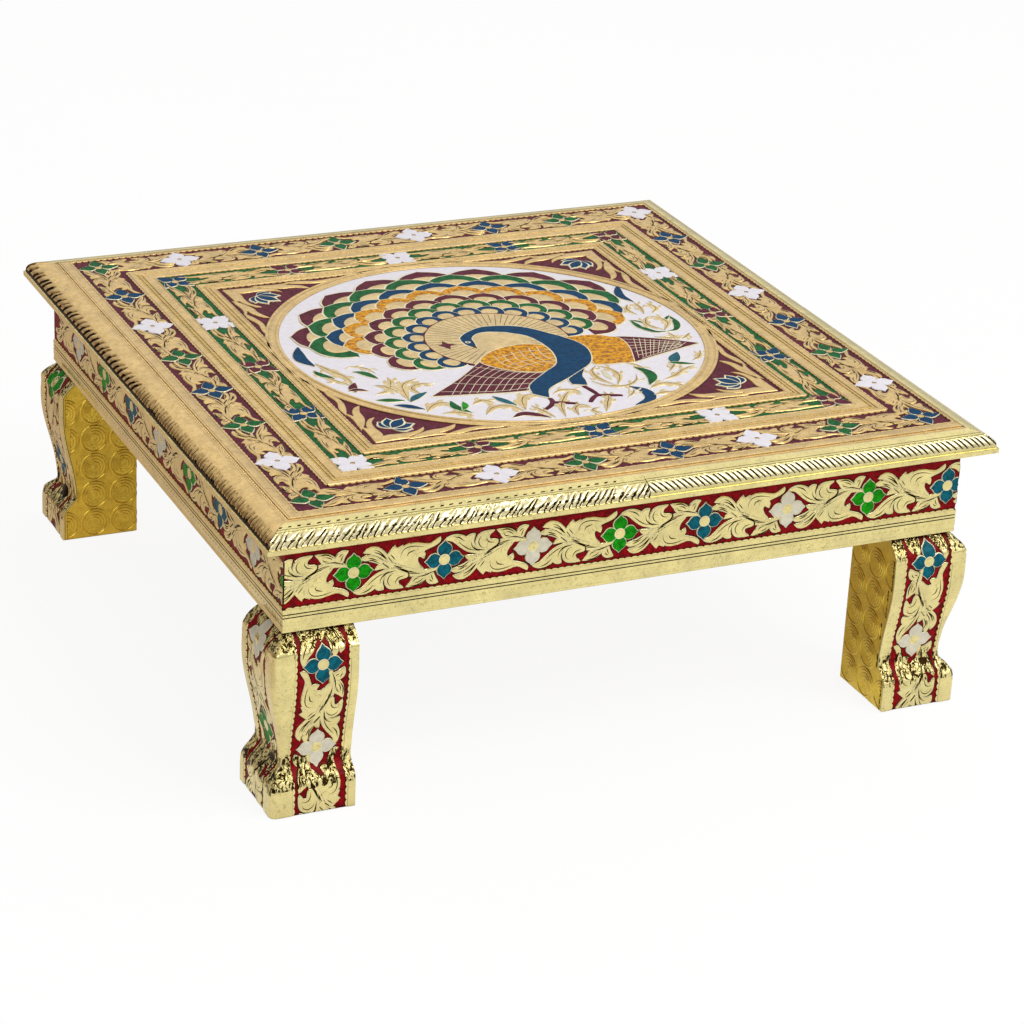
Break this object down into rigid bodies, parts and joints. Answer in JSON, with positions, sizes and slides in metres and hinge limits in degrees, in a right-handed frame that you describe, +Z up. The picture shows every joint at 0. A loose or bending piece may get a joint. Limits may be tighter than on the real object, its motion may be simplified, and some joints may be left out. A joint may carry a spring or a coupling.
{
  "type": "low table",
  "caption": "Square low table with a moulded overhanging top, a deep apron and short curved block legs, clad all over in embossed gold and enamel sheet.",
  "frame": {"origin": "on the floor, under the middle of the table top", "axes": "+Z up; -Y is the front face, the one seen broadside in the picture; +X is to the right seen from the front"},
  "size_m": [0.38, 0.38, 0.148],
  "materials": {
    "top_sheet": "thin sheet, embossed, gold lacquer on the crests, translucent maroon, green, blue, amber and white enamel in the ground",
    "edge_strip": "thin sheet, rope embossed, bright gold lacquer",
    "apron_sheet": "thin sheet, embossed, bright gold lacquer, translucent deep red enamel in the ground",
    "leg_sheet": "thin sheet, embossed and dressed over the curves by hand, gold lacquer with a red enamel band",
    "coin_foil": "foil embossed with rows of ringed coins, deep yellow gold lacquer",
    "board": "plywood, bare",
    "timber": "sawn softwood, bare",
    "dowel": "turned hardwood, bare",
    "steel": "drawn wire, bright"
  },
  "bodies": {
    "root": {"apron_sheet_back": "apron_sheet", "apron_sheet_front": "apron_sheet", "apron_sheet_left": "apron_sheet", "apron_sheet_right": "apron_sheet", "corner_block_back_left": "timber", "corner_block_back_right": "timber", "corner_block_front_left": "timber", "corner_block_front_right": "timber", "edge_strip_back": "edge_strip", "edge_strip_front": "edge_strip", "edge_strip_left": "edge_strip", "edge_strip_right": "edge_strip", "leg_back_left": "timber", "leg_back_right": "timber", "leg_dowel_back_left": "dowel", "leg_dowel_back_right": "dowel", "leg_dowel_front_left": "dowel", "leg_dowel_front_right": "dowel", "leg_foil_back_left": "coin_foil", "leg_foil_back_right": "coin_foil", "leg_foil_front_left": "coin_foil", "leg_foil_front_right": "coin_foil", "leg_front_left": "timber", "leg_front_right": "timber", "leg_screw_back_left": "steel", "leg_screw_back_right": "steel", "leg_screw_front_left": "steel", "leg_screw_front_right": "steel", "leg_sheet_back_left": "leg_sheet", "leg_sheet_back_right": "leg_sheet", "leg_sheet_front_left": "leg_sheet", "leg_sheet_front_right": "leg_sheet", "rail_back": "timber", "rail_front": "timber", "rail_left": "timber", "rail_nail_back_1": "steel", "rail_nail_back_2": "steel", "rail_nail_front_1": "steel", "rail_nail_front_2": "steel", "rail_nail_left_1": "steel", "rail_nail_left_2": "steel", "rail_nail_right_1": "steel", "rail_nail_right_2": "steel", "rail_right": "timber", "top_board": "board", "top_nail_back_1": "steel", "top_nail_back_2": "steel", "top_nail_front_1": "steel", "top_nail_front_2": "steel", "top_nail_left_1": "steel", "top_nail_left_2": "steel", "top_nail_right_1": "steel", "top_nail_right_2": "steel", "top_sheet": "top_sheet"}
  },
  "joints": []
}
